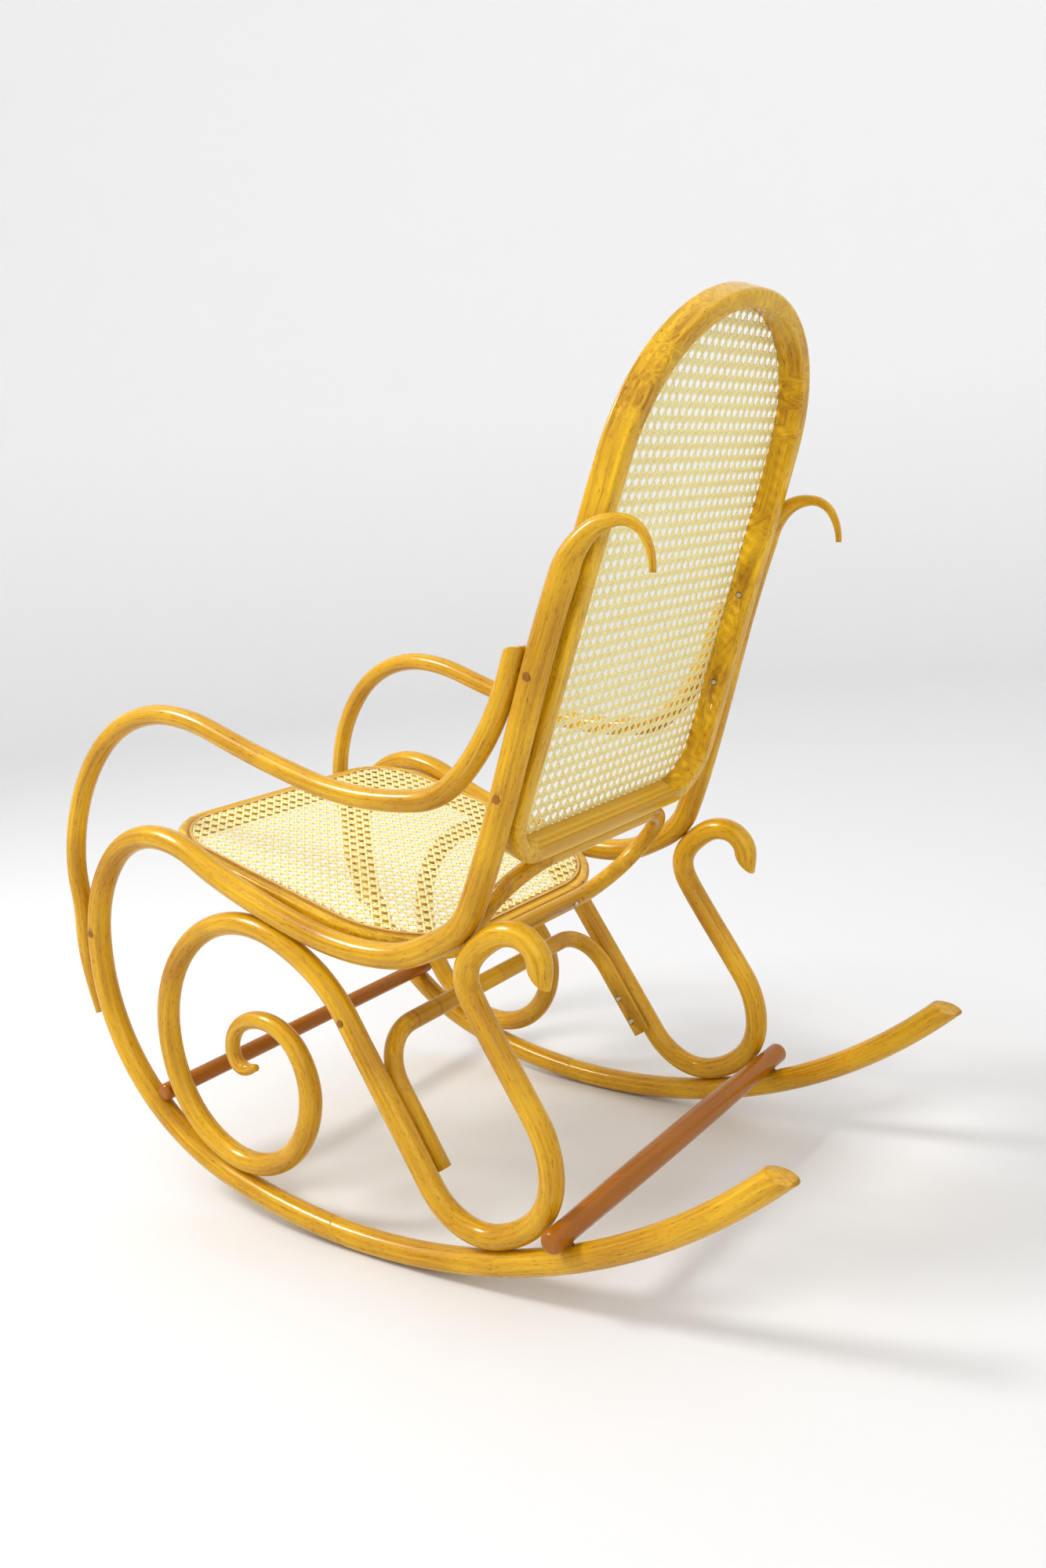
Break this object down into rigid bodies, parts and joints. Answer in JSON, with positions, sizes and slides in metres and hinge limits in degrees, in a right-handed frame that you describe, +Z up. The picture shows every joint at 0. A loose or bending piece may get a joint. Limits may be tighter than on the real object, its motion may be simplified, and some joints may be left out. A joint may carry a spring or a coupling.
{
  "type": "bentwood rocking chair",
  "caption": "Bentwood rocking chair: two side frames of bent rods with scroll legs and curved runners, a caned seat ring and a tall caned back hoop.",
  "frame": {"origin": "middle of the chair's box at floor level, under the seat", "axes": "+Z up, the chair faces -Y, +X is the sitter's left"},
  "size_m": [0.5892, 1.0856, 1.1084],
  "materials": {
    "bent_wood": "golden lacquered beech, satin gloss",
    "seat_wood": "golden lacquered beech, satin gloss",
    "cane": "woven split cane, matt",
    "reed_spline": "reed, satin",
    "steel_screw": "plain steel",
    "wood_plug": "lacquered end grain"
  },
  "bodies": {
    "root": {"side_rail_left": "bent_wood", "runner_left": "bent_wood", "scroll_leg_left": "bent_wood", "arm_left": "bent_wood", "leg_dowels_left": "wood_plug", "arm_dowels_left": "wood_plug", "stretcher_dowels_left": "wood_plug", "plugs_left": "wood_plug", "side_rail_right": "bent_wood", "runner_right": "bent_wood", "scroll_leg_right": "bent_wood", "arm_right": "bent_wood", "leg_dowels_right": "wood_plug", "arm_dowels_right": "wood_plug", "stretcher_dowels_right": "wood_plug", "plugs_right": "wood_plug", "seat_ring": "seat_wood", "back_ring": "seat_wood", "seat_cane": "cane", "back_cane": "cane", "seat_spline": "reed_spline", "back_spline": "reed_spline", "brace_loop": "bent_wood", "under_seat_brace": "bent_wood", "front_stretcher": "bent_wood", "rear_stretcher": "bent_wood", "seat_screws": "steel_screw", "back_screws": "steel_screw", "brace_loop_screws": "steel_screw", "under_seat_brace_screws": "steel_screw"}
  },
  "joints": []
}
